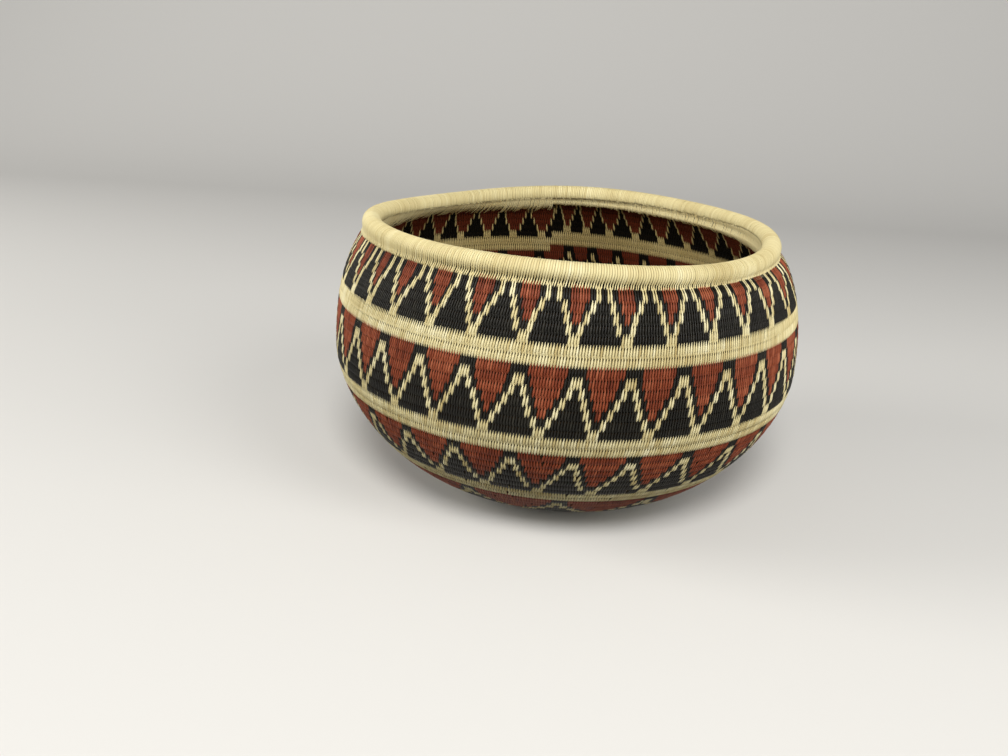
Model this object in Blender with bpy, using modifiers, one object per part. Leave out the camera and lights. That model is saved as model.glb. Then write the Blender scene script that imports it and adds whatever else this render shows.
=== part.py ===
"""Coiled basket bowl.

One long foundation coil runs in a flat spiral from a start knot at the middle of
the base, turns up at the heel and climbs as the wall, row on row, to a thick
wrapped rim. The coil is sewn with strands of another colour in each band, and
every band is one stretch of the coil. All bands change colour on one line up the
back, where each stretch butts against the next.

Metres, +Z up, origin at the middle of the base on the surface it rests on.
"""

import bisect
import math

import bpy
from mathutils import Vector

# Bowl form
BELLY_RADIUS = 0.0900        # outside of the widest row
BELLY_HEIGHT = 0.0553        # height of the widest row above the resting surface
BASE_RADIUS = 0.0320         # edge of the flat part of the base
LOWER_FULLNESS = 1.74        # exponent of the lower wall, 2 is an ellipse
SHOULDER_REACH = 0.0293      # half width of the arc that draws the shoulder in
SHOULDER_RISE = 0.0514       # height of that arc
SHOULDER_FULLNESS = 2.30     # exponent of that arc, 2 is an ellipse

# Coil
ROW_PITCH = 0.00340          # from row to row along the wall
FINE_PITCH = 0.003022        # the same in the finer rows of the lower bands
FINE_FROM = 20               # turns of the coil where the finer rows begin
FINE_ROWS = 9
ROW_GAP = 0.00045            # clear space between two rows
BUTT_GAP = 0.0003            # clear space where one stretch meets the next
START_RADIUS = 0.0089        # middle of the coil where it leaves the start knot
JOG_ANGLE = math.radians(96.0)   # line up the back where the bands begin and end

# Rows in each stretch, from the middle of the base to the neck
CENTRE_ROWS = 2
BASE_ROWS = 5
HEEL_ROWS = 6
FOOT_PATTERN_ROWS = 7
LOWER_CREAM_ROWS = 2
LOWER_PATTERN_ROWS = 7
MIDDLE_CREAM_ROWS = 2
MIDDLE_PATTERN_ROWS = 7
UPPER_CREAM_ROWS = 2
UPPER_PATTERN_ROWS = 5

# Neck and rim
TAPER_ALLOWANCE = 0.00085    # height left for the thin end of the tapered last row
RIM_RADIUS = 0.0033          # outside of the wrapped rim, seen in section
RIM_SEAT_GAP = 0.0004        # clear space between the neck and the rim above it
RIM_LEAN_SHARE = 0.7         # lean of the line from neck to rim, as a share of the wall's lean
WRAP_THICKNESS = 0.0008      # strands lapped round the rim's inner bundle
CORE_GAP = 0.0003            # clear space between that bundle and the strands
WRAP_SLOT = 0.0010           # opening under the rim where the strands draw together

# Fineness of the forms
TURN_POINTS = 20             # points in one row
CENTRE_TURN_POINTS = 10      # points in one row of the tight rows round the knot
RIM_STEPS = 48
WRAP_ARC_POINTS = 11         # points across the rim's section
MERIDIAN_POINTS = 600

# Base colours
CREAM = (0.71, 0.62, 0.40, 1.0)
BRICK = (0.27, 0.075, 0.035, 1.0)
CHARCOAL = (0.030, 0.026, 0.028, 1.0)
STRAW = (0.30, 0.22, 0.12, 1.0)

HALF_ROW = (ROW_PITCH - ROW_GAP) / 2
SQUARE_SIDES = 4
HEXAGON_SIDES = 6


def section_radius(sides):
    """Radius to the corners of a section whose flats are HALF_ROW from its middle."""
    return HALF_ROW / math.cos(math.pi / sides)


WALL_HALF = section_radius(HEXAGON_SIDES)


def build_meridian():
    """Points (distance along the wall, radius, height) of the coil's middle line."""
    middle_radius = BELLY_RADIUS - WALL_HALF
    drop = BELLY_HEIGHT - HALF_ROW
    places = [(0.0, HALF_ROW)]
    for step in range(MERIDIAN_POINTS + 1):
        turn = math.pi / 2 * (1 - step / MERIDIAN_POINTS)
        out = max(math.cos(turn), 0.0) ** (2 / LOWER_FULLNESS)
        down = math.sin(turn) ** (2 / LOWER_FULLNESS)
        places.append((BASE_RADIUS + (middle_radius - BASE_RADIUS) * out, BELLY_HEIGHT - drop * down))
    for step in range(1, MERIDIAN_POINTS + 1):
        turn = math.pi / 2 * step / MERIDIAN_POINTS
        out = max(math.cos(turn), 0.0) ** (2 / SHOULDER_FULLNESS)
        up = math.sin(turn) ** (2 / SHOULDER_FULLNESS)
        places.append((middle_radius - SHOULDER_REACH * (1 - out), BELLY_HEIGHT + SHOULDER_RISE * up))
    table = [(0.0, *places[0])]
    for before, after in zip(places, places[1:]):
        table.append((table[-1][0] + math.dist(before, after), *after))
    return table


MERIDIAN = build_meridian()
MERIDIAN_LENGTHS = [row[0] for row in MERIDIAN]


def wall_place(length):
    """Radius, height and lean of the wall at a length along it from the middle.

    The lean is the angle from straight up towards the outside, so it is a quarter
    turn on the flat base, zero at the belly and negative on the shoulder.
    """
    index = bisect.bisect_left(MERIDIAN_LENGTHS, length)
    index = min(max(index, 1), len(MERIDIAN) - 1)
    start, radius_a, height_a = MERIDIAN[index - 1]
    end, radius_b, height_b = MERIDIAN[index]
    share = (length - start) / (end - start)
    radius = radius_a + share * (radius_b - radius_a)
    height = height_a + share * (height_b - height_a)
    return radius, height, math.atan2(radius_b - radius_a, height_b - height_a)


def row_bottom(turns):
    """Length along the wall to the lower edge of the coil after a number of turns."""
    finer = min(max(turns - FINE_FROM, 0.0), FINE_ROWS)
    return START_RADIUS + ROW_PITCH * (turns - 0.5) - (ROW_PITCH - FINE_PITCH) * finer


def coil_length(turns):
    """Length along the wall to the coil's middle line after a number of turns."""
    return (row_bottom(turns) + row_bottom(turns + 1)) / 2


def thickness_share(turns):
    """Thickness of the coil after a number of turns, as a share of a full row's."""
    return (row_bottom(turns + 1) - row_bottom(turns) - ROW_GAP) / 2 / HALF_ROW


def coil_place(turns):
    """Point and lean of the coil's middle line after a number of turns."""
    radius, height, lean = wall_place(coil_length(turns))
    angle = JOG_ANGLE + math.tau * turns
    return Vector((radius * math.cos(angle), radius * math.sin(angle), height)), lean


def material(name, colour, roughness):
    """A plain dyed or natural plant fibre."""
    made = bpy.data.materials.new(name)
    made.use_nodes = True
    shader = made.node_tree.nodes["Principled BSDF"]
    shader.inputs["Base Color"].default_value = colour
    shader.inputs["Roughness"].default_value = roughness
    shader.inputs["Metallic"].default_value = 0.0
    made.diffuse_color = colour
    return made


def clear_scene():
    for thing in list(bpy.data.objects):
        bpy.data.objects.remove(thing)


def add_object(name, data, collection, finish):
    thing = bpy.data.objects.new(name, data)
    collection.objects.link(thing)
    thing.data.materials.append(finish)
    return thing


def tube_curve(name, stations, sides, radius):
    """A poly curve with filled caps. A station is a point, a lean and a thickness share."""
    curve = bpy.data.curves.new(name, "CURVE")
    curve.dimensions = "3D"
    curve.twist_mode = "Z_UP"
    curve.bevel_depth = radius
    curve.bevel_resolution = sides // 2 - 2
    curve.use_fill_caps = True
    spline = curve.splines.new("POLY")
    spline.points.add(len(stations) - 1)
    corner_turn = math.radians(45) if sides == SQUARE_SIDES else 0.0
    for point, (place, lean, share) in zip(spline.points, stations):
        point.co = (*place, 1.0)
        point.tilt = lean + corner_turn
        point.radius = share
    spline.use_smooth = True
    return curve


def butt_end(before, after, inset):
    """End of a stretch: the middle of the run between two points, drawn back from it."""
    place = (before[0] + after[0]) / 2
    along = (after[0] - before[0]).normalized()
    return place + along * inset, (before[1] + after[1]) / 2


def coil_stations(first_row, rows, turn_points):
    """Stations of one unbroken stretch of the coil, straight and square at both ends."""
    def at(step):
        return coil_place(first_row + (step + 0.5) / turn_points)

    steps = rows * turn_points
    start = butt_end(at(-1), at(0), BUTT_GAP / 2)
    end = butt_end(at(steps - 1), at(steps), -BUTT_GAP / 2)
    places = [start] + [at(step) for step in range(steps)] + [end]
    turns = [0.0] + [(step + 0.5) / turn_points for step in range(steps)] + [float(rows)]
    return [(place, lean, thickness_share(first_row + turn)) for (place, lean), turn in zip(places, turns)]


def least_gap(stations, radius, turn_points):
    """Least gap between one row and the next, measured between the tube's own points."""
    least = math.inf
    for index, (place, _, share) in enumerate(stations):
        for other, _, other_share in stations[index + turn_points // 2:]:
            gap = (other - place).length - radius * (share + other_share)
            least = min(least, gap)
    return least


def coil_stretch(name, first_row, rows, sides, turn_points, collection, finish):
    """One stretch of the coil, from its first row to the row where the next begins."""
    stations = coil_stations(first_row, rows, turn_points)
    if rows > 1:
        gap = least_gap(stations, HALF_ROW, turn_points)
        print(f"{name}: {rows} rows, least gap to itself {gap * 1000:.2f} mm")
    curve = tube_curve(name, stations, sides, section_radius(sides))
    return add_object(name, curve, collection, finish)


def start_knot(collection, finish):
    """Flat knot at the middle, its edge drawn out in step with the first row round it."""
    edge = START_RADIUS - HALF_ROW - ROW_GAP
    curve = bpy.data.curves.new("start_knot", "CURVE")
    curve.dimensions = "2D"
    curve.fill_mode = "BOTH"
    curve.extrude = HALF_ROW
    spline = curve.splines.new("POLY")
    spline.points.add(CENTRE_TURN_POINTS + 1)
    spline.use_cyclic_u = True
    turns = [0.0] + [(step + 0.5) / CENTRE_TURN_POINTS for step in range(CENTRE_TURN_POINTS)] + [1.0]
    for point, turn in zip(spline.points, turns):
        radius = edge + ROW_PITCH * turn
        if turn in (0.0, 1.0):
            radius = radius * math.cos(math.pi / CENTRE_TURN_POINTS)
        angle = JOG_ANGLE + math.tau * turn
        point.co = (radius * math.cos(angle), radius * math.sin(angle), 0.0, 1.0)
    thing = add_object("start_knot", curve, collection, finish)
    thing.location.z = HALF_ROW
    return thing


def neck_top(rows_below):
    """Length along the wall of the level line that the rim rests on."""
    return row_bottom(rows_below + 1) + TAPER_ALLOWANCE


def neck_coil(rows_below, collection, finish):
    """The last row. It thins round its whole turn, so that its top is level for the rim."""
    top = neck_top(rows_below)

    def at(step):
        turn = (step + 0.5) / TURN_POINTS
        under = row_bottom(rows_below + turn)
        radius, height, lean = wall_place((under + top) / 2)
        angle = JOG_ANGLE + math.tau * turn
        place = Vector((radius * math.cos(angle), radius * math.sin(angle), height))
        return place, lean, (top - under - ROW_GAP) / 2

    stations = [at(step) for step in range(-1, TURN_POINTS + 1)]
    start, start_lean = butt_end(stations[0], stations[1], BUTT_GAP / 2)
    end, end_lean = butt_end(stations[-2], stations[-1], -BUTT_GAP / 2)
    full = stations[1][2]
    middle = [(place, lean, half / full) for place, lean, half in stations[1:-1]]
    first = (start, start_lean, 1.0)
    last = (end, end_lean, middle[-1][2])
    corner = full / math.cos(math.pi / HEXAGON_SIDES)
    curve = tube_curve("neck_coil", [first] + middle + [last], HEXAGON_SIDES, corner)
    return add_object("neck_coil", curve, collection, finish)


def rim_centre(rows_below):
    """Radius and height of the middle of the rim's section."""
    radius, height, lean = wall_place(neck_top(rows_below))
    lean = lean * RIM_LEAN_SHARE
    rise = RIM_RADIUS + RIM_SEAT_GAP
    return radius + rise * math.sin(lean), height + rise * math.cos(lean)


def ring_from_section(name, points, steps, collection, finish):
    """A ring turned about the bowl's axis from a closed section."""
    mesh = bpy.data.meshes.new(name)
    count = len(points)
    edges = [(index, (index + 1) % count) for index in range(count)]
    mesh.from_pydata([(x, 0.0, z) for x, z in points], edges, [])
    thing = add_object(name, mesh, collection, finish)
    screw = thing.modifiers.new("turn", "SCREW")
    screw.axis = "Z"
    screw.angle = math.tau
    screw.steps = steps
    screw.render_steps = steps
    screw.use_merge_vertices = True
    screw.merge_threshold = 0.00001
    screw.use_smooth_shade = True
    return thing


def rim_wrap(rows_below, collection, finish):
    """Strands lapped round the rim's bundle, drawn together in a slot over the neck."""
    centre_x, centre_z = rim_centre(rows_below)
    lean = wall_place(neck_top(rows_below))[2] * RIM_LEAN_SHARE
    inner_radius = RIM_RADIUS - WRAP_THICKNESS

    def arc(radius, backwards):
        half_slot = math.asin(WRAP_SLOT / 2 / radius)
        first = -math.pi / 2 - lean + half_slot
        sweep = math.tau - 2 * half_slot
        steps = range(WRAP_ARC_POINTS)
        if backwards:
            steps = reversed(steps)
        turns = [first + sweep * step / (WRAP_ARC_POINTS - 1) for step in steps]
        return [(centre_x + radius * math.cos(turn), centre_z + radius * math.sin(turn)) for turn in turns]

    section = arc(RIM_RADIUS, True) + arc(inner_radius, False)
    return ring_from_section("rim_wrap", section, RIM_STEPS, collection, finish)


def rim_core(rows_below, collection, finish):
    """The bundle inside the rim: one turn of thick foundation, its ends butted."""
    radius, height = rim_centre(rows_below)
    bundle = RIM_RADIUS - WRAP_THICKNESS - CORE_GAP
    bundle = bundle * math.cos(math.pi / (WRAP_ARC_POINTS - 1))

    def at(step):
        angle = JOG_ANGLE + math.tau * (step + 0.5) / RIM_STEPS
        return Vector((radius * math.cos(angle), radius * math.sin(angle), height)), 0.0

    start = butt_end(at(-1), at(0), BUTT_GAP / 2)
    end = butt_end(at(RIM_STEPS - 1), at(RIM_STEPS), -BUTT_GAP / 2)
    places = [start] + [at(step) for step in range(RIM_STEPS)] + [end]
    stations = [(place, lean, 1.0) for place, lean in places]
    curve = tube_curve("rim_core", stations, HEXAGON_SIDES, bundle)
    return add_object("rim_core", curve, collection, finish)


def build():
    clear_scene()
    collection = bpy.data.collections.new("coiled_basket_bowl")
    bpy.context.scene.collection.children.link(collection)
    cream = material("cream_strand", CREAM, 0.55)
    brick = material("brick_strand", BRICK, 0.55)
    charcoal = material("charcoal_strand", CHARCOAL, 0.45)
    straw = material("foundation_straw", STRAW, 0.75)

    start_knot(collection, cream)
    stretches = [
        ("centre_coil", CENTRE_ROWS, SQUARE_SIDES, CENTRE_TURN_POINTS, cream),
        ("base_coil", BASE_ROWS, SQUARE_SIDES, TURN_POINTS, cream),
        ("heel_coil", HEEL_ROWS, SQUARE_SIDES, TURN_POINTS, cream),
        ("foot_pattern_coil", FOOT_PATTERN_ROWS, SQUARE_SIDES, TURN_POINTS, brick),
        ("lower_cream_coil", LOWER_CREAM_ROWS, HEXAGON_SIDES, TURN_POINTS, cream),
        ("lower_pattern_coil", LOWER_PATTERN_ROWS, HEXAGON_SIDES, TURN_POINTS, brick),
        ("middle_cream_coil", MIDDLE_CREAM_ROWS, HEXAGON_SIDES, TURN_POINTS, cream),
        ("middle_pattern_coil", MIDDLE_PATTERN_ROWS, HEXAGON_SIDES, TURN_POINTS, brick),
        ("upper_cream_coil", UPPER_CREAM_ROWS, HEXAGON_SIDES, TURN_POINTS, cream),
        ("upper_pattern_coil", UPPER_PATTERN_ROWS, HEXAGON_SIDES, TURN_POINTS, charcoal),
    ]
    row = 0
    for name, rows, sides, turn_points, finish in stretches:
        coil_stretch(name, row, rows, sides, turn_points, collection, finish)
        row += rows
    neck_coil(row, collection, cream)
    rim_core(row, collection, straw)
    rim_wrap(row, collection, cream)


build()
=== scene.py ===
"""Looks of the coiled basket bowl: every stitch, the coil inside them, the rim and its wraps."""

import math

import bpy
import numpy as np
from mathutils import Matrix, Vector
from numpy.random import default_rng


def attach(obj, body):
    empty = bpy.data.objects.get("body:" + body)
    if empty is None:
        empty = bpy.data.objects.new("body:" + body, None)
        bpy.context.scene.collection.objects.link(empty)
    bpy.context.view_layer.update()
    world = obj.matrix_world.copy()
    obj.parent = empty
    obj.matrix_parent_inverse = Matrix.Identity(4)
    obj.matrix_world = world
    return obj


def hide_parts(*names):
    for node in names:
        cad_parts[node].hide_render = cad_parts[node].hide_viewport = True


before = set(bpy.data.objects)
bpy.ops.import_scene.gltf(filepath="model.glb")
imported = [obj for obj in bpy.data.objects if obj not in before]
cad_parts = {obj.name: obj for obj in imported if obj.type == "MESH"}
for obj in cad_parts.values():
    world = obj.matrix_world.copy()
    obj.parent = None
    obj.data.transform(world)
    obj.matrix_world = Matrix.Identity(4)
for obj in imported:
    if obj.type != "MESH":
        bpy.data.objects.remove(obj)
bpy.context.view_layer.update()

# Bowl form in metres, the same as the solids'
BELLY_RADIUS = 0.0900  # outside of the widest row
BELLY_HEIGHT = 0.0553  # height of the widest row above the resting surface
BASE_RADIUS = 0.0320  # edge of the flat part of the base
LOWER_FULLNESS = 1.74  # exponent of the lower wall, 2 is an ellipse
SHOULDER_REACH = 0.0293  # half width of the arc that draws the shoulder in
SHOULDER_RISE = 0.0514  # height of that arc
SHOULDER_FULLNESS = 2.30  # exponent of that arc, 2 is an ellipse
ROW_PITCH = 0.00340  # from row to row along the wall
FINE_PITCH = 0.003022  # the same in the finer rows of the lower bands
FINE_FROM = 20  # turns of the coil where the finer rows begin
FINE_ROWS = 9
ROW_GAP = 0.00045  # clear space between two rows of the solids
START_RADIUS = 0.0089  # middle of the coil where it leaves the start knot
JOG_ANGLE = math.radians(96.0)  # line up the back where the bands begin and end
TAPER_ALLOWANCE = 0.00085  # height left for the thin end of the tapered last row
RIM_RADIUS = 0.0033  # outside of the solid rim, seen in section
RIM_SEAT_GAP = 0.0004  # clear space between the neck and the solid rim
RIM_LEAN_SHARE = 0.7  # lean of the line from neck to rim, as a share of the wall's lean
HALF_ROW = (ROW_PITCH - ROW_GAP) / 2
WALL_HALF = HALF_ROW / math.cos(math.pi / 6)
MERIDIAN_POINTS = 1200  # points drawn for each of the wall's two curves
MERIDIAN_STEP = 0.00005  # spacing of the even points taken from them
LEAN_SPAN = 31  # even points over which the wall's lean is smoothed

# Bands, from the middle of the base up: name, first row, rows
BANDS = [
    ("start_knot", -2, 2), ("centre", 0, 2), ("base", 2, 5), ("heel", 7, 6), ("foot_pattern", 13, 7),
    ("lower_cream", 20, 2), ("lower_pattern", 22, 7), ("middle_cream", 29, 2), ("middle_pattern", 31, 7),
    ("upper_cream", 38, 2), ("upper_pattern", 40, 5), ("neck", 45, 1),
]
BAND_ROWS = {name: (first, rows) for name, first, rows in BANDS}
NECK_ROW = BAND_ROWS["neck"][0]

# Rise of the stitches' backs out of the wall's middle, by turns of the coil
THICKNESS_AT = [0, 13, 20, 29, 31, 46]
THICKNESS = [0.00146, 0.00146, 0.00150, 0.00153, 0.00170, 0.00170]

# Stitches in each row
WALL_STITCHES = 580  # in each row from FULL_FROM up
FULL_FROM = 29
STITCH_WIDTH = 0.000955  # of the stitches below it
FEWEST_STITCHES = 12
LEAST_TURN = 0.0018  # no turn's stitches are counted nearer than this to the middle of the base
ROW_SLIP = 0.05  # how far a row's stitches are shifted from the row below, in stitches

# How the rim departs from a level ring, as handwork does: waves round it, their rise and where they crest
RIM_WAVES = [(1, 0.00047, -54), (2, 0.00115, 106), (3, 0.00033, -89), (4, 0.00044, 12)]
RIM_SINK = -0.00056  # of the whole rim
RIM_SHIFT = -0.0007  # to one side
WARP_FROM = 0.0935  # height from which the wall follows the rim
WARP_FULL = 0.1005  # height from which it follows it in full

CREAM, BRICK, CHARCOAL = 0, 1, 2
COLOUR_NAMES = ["cream", "brick", "charcoal"]


# Form of the wall

def build_meridian():
    """The wall's middle line from the middle of the base to the neck, at even steps along it."""
    middle_radius = BELLY_RADIUS - WALL_HALF
    drop = BELLY_HEIGHT - HALF_ROW
    turn = np.linspace(math.pi / 2, 0.0, MERIDIAN_POINTS)
    outward = np.maximum(np.cos(turn), 0) ** (2 / LOWER_FULLNESS)
    lower_r = BASE_RADIUS + (middle_radius - BASE_RADIUS) * outward
    lower_z = BELLY_HEIGHT - drop * np.sin(turn) ** (2 / LOWER_FULLNESS)
    turn = np.linspace(0.0, math.pi / 2, MERIDIAN_POINTS)[1:]
    outward = np.maximum(np.cos(turn), 0) ** (2 / SHOULDER_FULLNESS)
    upper_r = middle_radius - SHOULDER_REACH * (1 - outward)
    upper_z = BELLY_HEIGHT + SHOULDER_RISE * np.sin(turn) ** (2 / SHOULDER_FULLNESS)
    radius = np.concatenate([[0.0], lower_r, upper_r])
    height = np.concatenate([[HALF_ROW], lower_z, upper_z])
    length = np.concatenate([[0.0], np.cumsum(np.hypot(np.diff(radius), np.diff(height)))])
    even = np.arange(0.0, length[-1], MERIDIAN_STEP)
    even_r = np.interp(even, length, radius)
    even_z = np.interp(even, length, height)
    lean = np.arctan2(np.gradient(even_r), np.gradient(even_z))
    padded = np.pad(lean, LEAN_SPAN // 2, mode="edge")
    lean = np.convolve(padded, np.ones(LEAN_SPAN) / LEAN_SPAN, mode="valid")
    return even, even_r, even_z, lean


LENGTHS, RADII, HEIGHTS, LEANS = build_meridian()


def wall_frame(length):
    """Radius, height and lean of the wall's middle line."""
    return [np.interp(length, LENGTHS, values) for values in (RADII, HEIGHTS, LEANS)]


def section_place(length, rise):
    """Places in the section, a length along the wall and a rise out of its middle: radius and height."""
    radius, height, lean = wall_frame(length)
    return np.stack([radius + rise * np.cos(lean), height - rise * np.sin(lean)], axis=-1)


def swing(angle, place):
    """Points at angles round the bowl, from places in the section."""
    radius, height = place[..., 0], place[..., 1]
    return np.stack(np.broadcast_arrays(radius * np.cos(angle), radius * np.sin(angle), height), axis=-1)


def row_bottom(turns):
    """Length along the wall of a row's lower edge."""
    finer = np.clip(turns - FINE_FROM, 0.0, FINE_ROWS)
    return START_RADIUS - ROW_PITCH / 2 + ROW_PITCH * turns - (ROW_PITCH - FINE_PITCH) * finer


NECK_TOP = row_bottom(NECK_ROW + 1) + TAPER_ALLOWANCE


def stitch_count(row):
    """Stitches in one turn of the coil."""
    if row >= FULL_FROM:
        return WALL_STITCHES
    place = max(row_bottom(row + 0.5) + ROW_PITCH / 2, LEAST_TURN)
    radius = float(wall_frame(place)[0])
    return max(FEWEST_STITCHES, round(math.tau * radius / STITCH_WIDTH))


def stitch_phases(rng):
    """How far each row's first stitch lies past the jog, in stitches."""
    return {row: (ROW_SLIP * row) % 1.0 if row >= FULL_FROM - 1 else float(rng.random()) for row in COUNTS}


COUNTS = {row: stitch_count(row) for row in range(BANDS[0][1], NECK_ROW + 2)}
PHASES = stitch_phases(default_rng(184))


# Pattern

# Peaks: widths in stitches
PEAK_CAP = 8  # black cap in the second row
PEAK_TOP = 4  # cream in the middle of it
WIDEST_OUTLINE = 2.0  # black outside the legs, in the rows below
LEAST_OUTLINE = 0.5
FOOT_WIDE = 4  # where two legs meet
# Fans: shares of the space between two feet on either side of the apex, and how far the legs have spread
# toward the feet, row by row down
FAN_LEFT = 0.547
FAN_RIGHT = 0.453
LEFT_SPREAD = [0.0, 0.25, 0.50, 0.71]
RIGHT_SPREAD = [0.0, 0.22, 0.42, 0.59]
LEFT_SPREAD_INSIDE = [0.0, 0.12, 0.34, 0.62]
RIGHT_SPREAD_INSIDE = [0.0, 0.10, 0.28, 0.52]
FAN_LEG = 2  # stitches across a leg outside
FAN_OUTLINES = [2.2, 1.4, 1.6]  # black stitches between a brick wedge and its legs, as far down as it goes
WIDEST_FAN_OUTLINE = 0.24  # the most that they take up, as a share of the space between the legs
SLIMMEST_WEDGE = 0.8  # stitches, below which a wedge has ended
APEX_NEAR = 2.2  # from the apex to a leg's middle in the top row, at most
APEX_SHARE = 0.14  # the same as a share of the space between two feet
# How far the upper band's motifs drift from an even spacing: degrees round from the jog, and the drift there
UPPER_DRIFT_AT = [0, 18, 56, 106, 126, 146, 188, 202, 218, 232, 280, 300, 322, 344, 360]
UPPER_DRIFT = [0.0, -0.3, -2.2, 2.6, 1.4, 2.2, 2.5, 1.1, 0.0, -0.9, 0.0, 1.2, 0.4, 1.2, 2.6]


def motif_angles(first, spacing, motifs, growth=0.0, crowding=0.0):
    """Degrees from the jog of a band's motifs, one more at each end. The last of them may be crowded."""
    order = np.arange(motifs)
    angles = first + spacing * order + growth * order ** 2 - crowding * (order / (motifs - 1)) ** 8
    before = angles[0] - (angles[1] - angles[0])
    after = angles[-1] + (angles[-1] - angles[-2])
    return np.concatenate([[before], angles, [after]])


def fill(row, centre, width, colour, paint=None):
    """Colour a run of stitches round a centre, counted in stitches."""
    first = round(centre - (width - 1) / 2)
    last = first + max(int(round(width)), 0)
    stitches = (paint or PAINT)[row]
    stitches[max(first, 0):max(min(last, len(stitches)), 0)] = colour


def fill_between(row, start, end, colour, paint):
    """Colour the stitches from one place to another."""
    stitches = paint[row]
    first = math.ceil(start)
    last = math.floor(end) + 1
    stitches[max(first, 0):max(min(last, len(stitches)), 0)] = colour


def lattice(row, angles):
    """Places in a row, counted in stitches, of angles in degrees from the jog."""
    return angles / 360.0 * COUNTS[row] - PHASES[row]


def paint_peaks(first_row, rows, angles, left_shares, right_shares, foot_left, cap, start, leg):
    """Peaks under a black cap: an inner black triangle inside two stepped cream legs.

    Inside the bowl the cream legs are one stitch slimmer.
    """
    for paint, slim in ((PAINT, 0), (PAINT_INSIDE, 1)):
        for order in range(rows):
            row = first_row + rows - 1 - order
            paint[row][:] = BRICK
            places = lattice(row, angles)
            before = np.diff(places)[:-1]
            after = np.diff(places)[1:]
            legs = []
            for place, gap_before, gap_after in zip(places[1:-1], before, after):
                left_foot = foot_left * gap_before
                right_foot = (1 - foot_left) * gap_after
                if order == 0:
                    fill(row, place + 0.5, cap - slim, CHARCOAL, paint)
                elif order == 1:
                    fill(row, place, PEAK_CAP - 2 * slim, CHARCOAL, paint)
                    legs.append((place, PEAK_TOP - 2 * slim))
                elif order < rows - 1:
                    share = order - 2
                    left = start[0] + (left_foot - start[0]) * left_shares[share]
                    right = start[1] + (right_foot - start[1]) * right_shares[share]
                    room = gap_after - right - left - leg
                    outline = min(WIDEST_OUTLINE, max(LEAST_OUTLINE, room / 2))
                    fill_between(row, place - left - leg / 2 - outline, place + right + leg / 2 + outline,
                                 CHARCOAL, paint)
                    legs.append((place - left, leg - slim))
                    legs.append((place + right, leg - slim))
                else:
                    legs.append((place + right_foot, FOOT_WIDE if leg == 2 else FOOT_WIDE + 1))
            if order == rows - 1:
                paint[row][:] = CHARCOAL
                legs.append((places[1] - foot_left * before[0], FOOT_WIDE))
            for place, width in legs:
                fill(row, place, width, CREAM, paint)


def fan_legs(apex, gap, near, left_spread, right_spread):
    """Places of the two legs of one black triangle in a row."""
    left = near + (FAN_LEFT * gap - near) * left_spread
    right = near + (FAN_RIGHT * gap - near) * right_spread
    return [apex - left, apex + right]


def paint_fans(first_row, rows, angles):
    """Black triangles between stepped cream legs that meet in feet, brick wedges between.

    Inside the bowl the wedges are brick from leg to leg, and the legs one stitch wide.
    """
    for order in range(rows):
        row = first_row + rows - 1 - order
        feet = lattice(row, angles)
        PAINT[row][:] = CHARCOAL
        PAINT_INSIDE[row][:] = CHARCOAL
        if order == rows - 1:
            for foot in feet[:-1]:
                fill(row, foot, FOOT_WIDE, CREAM)
                fill(row, foot, FOOT_WIDE, CREAM, PAINT_INSIDE)
            continue
        legs, inner_legs = [], []
        for foot, gap in zip(feet[:-1], np.diff(feet)):
            apex = foot + FAN_LEFT * gap
            near = min(APEX_NEAR, gap * APEX_SHARE)
            legs += fan_legs(apex, gap, near, LEFT_SPREAD[order], RIGHT_SPREAD[order])
            inner_legs += fan_legs(apex, gap, 1.0, LEFT_SPREAD_INSIDE[order], RIGHT_SPREAD_INSIDE[order])
        for left, right in zip(legs[1:-1:2], legs[2::2]):
            if order < len(FAN_OUTLINES):
                room = right - left - FAN_LEG
                width = room - 2 * min(FAN_OUTLINES[order], room * WIDEST_FAN_OUTLINE)
                if width > SLIMMEST_WEDGE:
                    fill(row, (left + right) / 2, width, BRICK)
        for left, right in zip(inner_legs[1:-1:2], inner_legs[2::2]):
            fill(row, (left + right) / 2, right - left, BRICK, PAINT_INSIDE)
        for place in legs:
            fill(row, place, FAN_LEG, CREAM)
        for place in inner_legs:
            fill(row, place, 1, CREAM, PAINT_INSIDE)


PAINT = {row: np.full(COUNTS[row], CREAM) for row in COUNTS}
PAINT_INSIDE = {row: np.full(COUNTS[row], CREAM) for row in COUNTS}
paint_peaks(*BAND_ROWS["middle_pattern"], motif_angles(3.5, 11.557, 33, crowding=19.3),
            left_shares=[0.0, 0.22, 0.44, 0.68], right_shares=[0.0, 0.2, 0.4, 0.62],
            foot_left=0.60, cap=6, start=(2.0, 2.0), leg=2)
paint_peaks(*BAND_ROWS["lower_pattern"], motif_angles(2.0, 13.5, 27, crowding=5.0),
            left_shares=[0.0, 0.26, 0.50, 0.74], right_shares=[0.0, 0.10, 0.26, 0.48],
            foot_left=0.55, cap=5, start=(2.5, 1.8), leg=2)
paint_peaks(*BAND_ROWS["foot_pattern"], motif_angles(12.2, 27.2, 13),
            left_shares=[0.0, 0.24, 0.48, 0.74], right_shares=[0.0, 0.22, 0.46, 0.72],
            foot_left=0.52, cap=6, start=(2.2, 2.2), leg=3)
fan_feet = motif_angles(3.55, 9.157, 36, growth=0.0506, crowding=32.8)
fan_feet = fan_feet + np.interp(fan_feet, UPPER_DRIFT_AT, UPPER_DRIFT)
paint_fans(*BAND_ROWS["upper_pattern"], fan_feet)


# Meshes

# In its cell of the bake's map a strand lies this far in from the sides and from the ends, and its end faces
# lie in strips of this height beyond
CELL_SIDE = 0.08
CELL_END = 0.10
END_STRIP = 0.05
FIBRE_SPREAD = 40.0  # how far apart on the fibre pattern the strands' own places lie


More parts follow.
